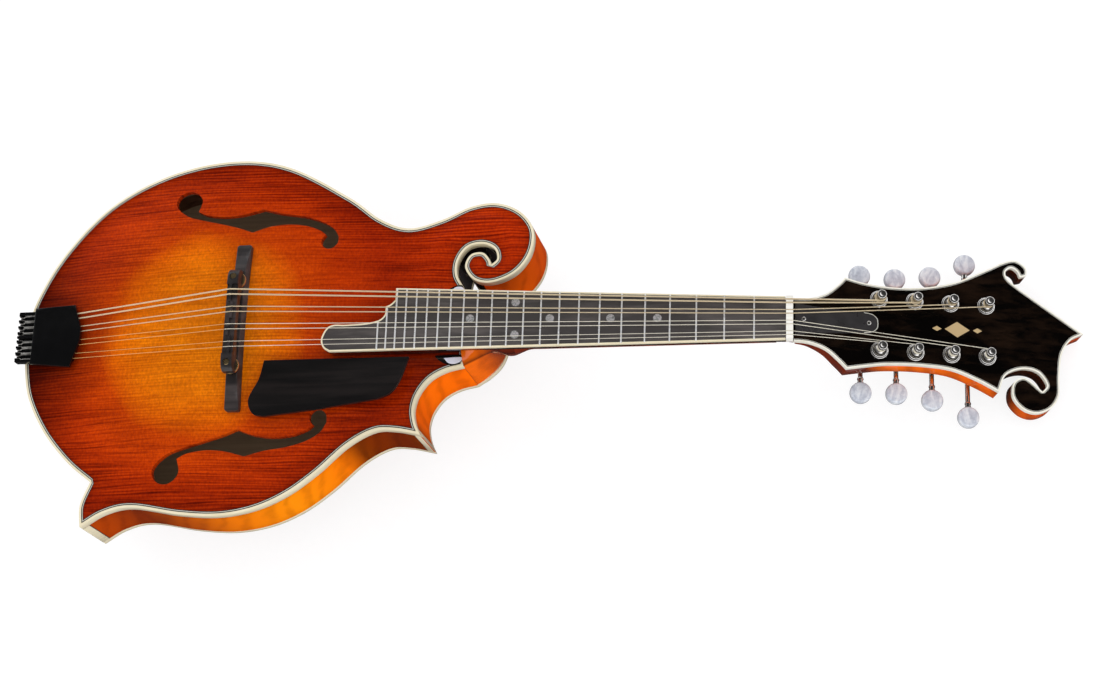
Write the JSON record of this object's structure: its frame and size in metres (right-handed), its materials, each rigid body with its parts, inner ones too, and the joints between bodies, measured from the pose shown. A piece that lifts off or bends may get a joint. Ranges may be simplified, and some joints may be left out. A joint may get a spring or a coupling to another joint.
{
  "type": "mandolin",
  "caption": "Scroll-bodied archtop mandolin with f-shaped sound holes, paired strings, height-adjustable bridge and worm-geared tuning machines.",
  "frame": {"origin": "centre of the strap button's flat outer face, at mid rib height on the body's centre line", "axes": "+X from the tail to the headstock along the centre line, +Y to the bass side, +Z out of the soundboard"},
  "size_m": [0.7014, 0.2522, 0.1128],
  "materials": {
    "spruce": "high-gloss amber to dark red-brown sunburst lacquer over straight-grained spruce",
    "maple": "high-gloss orange-red lacquer over flamed maple",
    "inner_spruce": "bare planed spruce inside the body",
    "mahogany": "bare wood blocks and linings inside the body",
    "neck_maple": "gloss lacquer over maple, dark red-brown",
    "cream_binding": "polished cream celluloid binding",
    "ebony": "polished ebony",
    "fretboard_ebony": "satin ebony with pearl dots and nickel frets",
    "bone": "polished bone",
    "nickel": "polished nickel plate",
    "black_metal": "gloss black plate",
    "brass": "plain turned brass with knurled rim",
    "pearloid": "pearl celluloid buttons on nickel shafts",
    "steel": "plain drawn steel",
    "bronze_wound": "phosphor-bronze wound string",
    "black_plastic": "black cover with a light bevelled edge"
  },
  "bodies": {
    "root": {"back_plate": "maple", "binding_back": "cream_binding", "binding_top": "cream_binding", "bridge_base": "ebony", "fretboard": "fretboard_ebony", "fretboard_riser": "ebony", "head_block": "mahogany", "headstock_binding": "cream_binding", "headstock_veneer": "ebony", "lining_back": "mahogany", "lining_top": "mahogany", "neck": "neck_maple", "nut": "bone", "pickguard": "ebony", "pickguard_support": "ebony", "point_block_lower": "mahogany", "point_block_mid": "mahogany", "rib_bass": "maple", "rib_cutaway": "maple", "rib_treble": "maple", "rib_waist": "maple", "soundboard": "spruce", "strap_button": "ebony", "string_a_inner": "steel", "string_a_outer": "steel", "string_d_inner": "bronze_wound", "string_d_outer": "bronze_wound", "string_e_inner": "steel", "string_e_outer": "steel", "string_g_inner": "bronze_wound", "string_g_outer": "bronze_wound", "tail_block": "mahogany", "tailpiece_base": "black_metal", "tailpiece_cover": "black_metal", "tone_bar_bass": "inner_spruce", "tone_bar_treble": "inner_spruce", "truss_rod": "steel", "truss_rod_cover": "black_plastic", "tuner_plate_bass": "nickel", "tuner_plate_treble": "nickel"},
    "saddle": {"bridge_saddle": "ebony"},
    "thumbwheel_bass": {"thumbwheel_bass": "brass"},
    "thumbwheel_treble": {"thumbwheel_treble": "brass"},
    "truss_rod_nut": {"truss_rod_nut": "brass"},
    "tuner_button_1": {"tuner_button_1": "pearloid"},
    "tuner_post_1": {"tuner_post_1": "nickel"},
    "tuner_button_2": {"tuner_button_2": "pearloid"},
    "tuner_post_2": {"tuner_post_2": "nickel"},
    "tuner_button_3": {"tuner_button_3": "pearloid"},
    "tuner_post_3": {"tuner_post_3": "nickel"},
    "tuner_button_4": {"tuner_button_4": "pearloid"},
    "tuner_post_4": {"tuner_post_4": "nickel"},
    "tuner_button_5": {"tuner_button_5": "pearloid"},
    "tuner_post_5": {"tuner_post_5": "nickel"},
    "tuner_button_6": {"tuner_button_6": "pearloid"},
    "tuner_post_6": {"tuner_post_6": "nickel"},
    "tuner_button_7": {"tuner_button_7": "pearloid"},
    "tuner_post_7": {"tuner_post_7": "nickel"},
    "tuner_button_8": {"tuner_button_8": "pearloid"},
    "tuner_post_8": {"tuner_post_8": "nickel"}
  },
  "joints": [
    {"name": "saddle_slide", "type": "slide", "parent": "root", "child": "saddle", "axis": [0, 0, 1], "range_m": [-0.0012, 0.0018], "deforming": ["string_g_outer", "string_g_inner", "string_d_outer", "string_d_inner", "string_a_inner", "string_a_outer", "string_e_inner", "string_e_outer"]},
    {"name": "thumbwheel_bass_turn", "type": "hinge", "parent": "saddle", "child": "thumbwheel_bass", "pos_m": [0.1655, 0.0293, 0.043], "axis": [0, 0, 1], "range_deg": [-545, 815]},
    {"name": "thumbwheel_treble_turn", "type": "hinge", "parent": "saddle", "child": "thumbwheel_treble", "pos_m": [0.1655, -0.0293, 0.043], "axis": [0, 0, 1], "range_deg": [-545, 815]},
    {"name": "truss_rod_nut_turn", "type": "hinge", "parent": "root", "child": "truss_rod_nut", "pos_m": [0.53136, 0, 0.00144], "axis": [0.9945, 0, -0.1045], "range_deg": [-180, 180]},
    {"name": "tuner_button_1_turn", "type": "hinge", "parent": "root", "child": "tuner_button_1", "pos_m": [0.5622, 0.017, -0.02338], "axis": [0, 1, 0], "continuous": true},
    {"name": "tuner_post_1_turn", "type": "hinge", "parent": "root", "child": "tuner_post_1", "pos_m": [0.57564, 0.017, -0.00679], "axis": [0.2924, 0, 0.9563], "continuous": true},
    {"name": "tuner_button_2_turn", "type": "hinge", "parent": "root", "child": "tuner_button_2", "pos_m": [0.5842, 0.017, -0.03011], "axis": [0, 1, 0], "continuous": true},
    {"name": "tuner_post_2_turn", "type": "hinge", "parent": "root", "child": "tuner_post_2", "pos_m": [0.59764, 0.017, -0.01351], "axis": [0.2924, 0, 0.9563], "continuous": true},
    {"name": "tuner_button_3_turn", "type": "hinge", "parent": "root", "child": "tuner_button_3", "pos_m": [0.60619, 0.017, -0.03683], "axis": [0, 1, 0], "continuous": true},
    {"name": "tuner_post_3_turn", "type": "hinge", "parent": "root", "child": "tuner_post_3", "pos_m": [0.61963, 0.017, -0.02024], "axis": [0.2924, 0, 0.9563], "continuous": true},
    {"name": "tuner_button_4_turn", "type": "hinge", "parent": "root", "child": "tuner_button_4", "pos_m": [0.62819, 0.017, -0.04356], "axis": [0, 1, 0], "continuous": true},
    {"name": "tuner_post_4_turn", "type": "hinge", "parent": "root", "child": "tuner_post_4", "pos_m": [0.64163, 0.017, -0.02696], "axis": [0.2924, 0, 0.9563], "continuous": true},
    {"name": "tuner_button_5_turn", "type": "hinge", "parent": "root", "child": "tuner_button_5", "pos_m": [0.62819, -0.017, -0.04356], "axis": [0, -1, 0], "continuous": true},
    {"name": "tuner_post_5_turn", "type": "hinge", "parent": "root", "child": "tuner_post_5", "pos_m": [0.64163, -0.017, -0.02696], "axis": [0.2924, 0, 0.9563], "continuous": true},
    {"name": "tuner_button_6_turn", "type": "hinge", "parent": "root", "child": "tuner_button_6", "pos_m": [0.60619, -0.017, -0.03683], "axis": [0, -1, 0], "continuous": true},
    {"name": "tuner_post_6_turn", "type": "hinge", "parent": "root", "child": "tuner_post_6", "pos_m": [0.61963, -0.017, -0.02024], "axis": [0.2924, 0, 0.9563], "continuous": true},
    {"name": "tuner_button_7_turn", "type": "hinge", "parent": "root", "child": "tuner_button_7", "pos_m": [0.5842, -0.017, -0.03011], "axis": [0, -1, 0], "continuous": true},
    {"name": "tuner_post_7_turn", "type": "hinge", "parent": "root", "child": "tuner_post_7", "pos_m": [0.59764, -0.017, -0.01351], "axis": [0.2924, 0, 0.9563], "continuous": true},
    {"name": "tuner_button_8_turn", "type": "hinge", "parent": "root", "child": "tuner_button_8", "pos_m": [0.5622, -0.017, -0.02338], "axis": [0, -1, 0], "continuous": true},
    {"name": "tuner_post_8_turn", "type": "hinge", "parent": "root", "child": "tuner_post_8", "pos_m": [0.57564, -0.017, -0.00679], "axis": [0.2924, 0, 0.9563], "continuous": true}
  ],
  "couplings": [
    {"joint": "thumbwheel_bass_turn", "follows": "saddle_slide", "rad_per_m": 7854},
    {"joint": "thumbwheel_treble_turn", "follows": "saddle_slide", "rad_per_m": 7854},
    {"joint": "tuner_post_1_turn", "follows": "tuner_button_1_turn", "ratio": 0.071429},
    {"joint": "tuner_post_2_turn", "follows": "tuner_button_2_turn", "ratio": 0.071429},
    {"joint": "tuner_post_3_turn", "follows": "tuner_button_3_turn", "ratio": 0.071429},
    {"joint": "tuner_post_4_turn", "follows": "tuner_button_4_turn", "ratio": 0.071429},
    {"joint": "tuner_post_5_turn", "follows": "tuner_button_5_turn", "ratio": -0.071429},
    {"joint": "tuner_post_6_turn", "follows": "tuner_button_6_turn", "ratio": -0.071429},
    {"joint": "tuner_post_7_turn", "follows": "tuner_button_7_turn", "ratio": -0.071429},
    {"joint": "tuner_post_8_turn", "follows": "tuner_button_8_turn", "ratio": -0.071429}
  ]
}
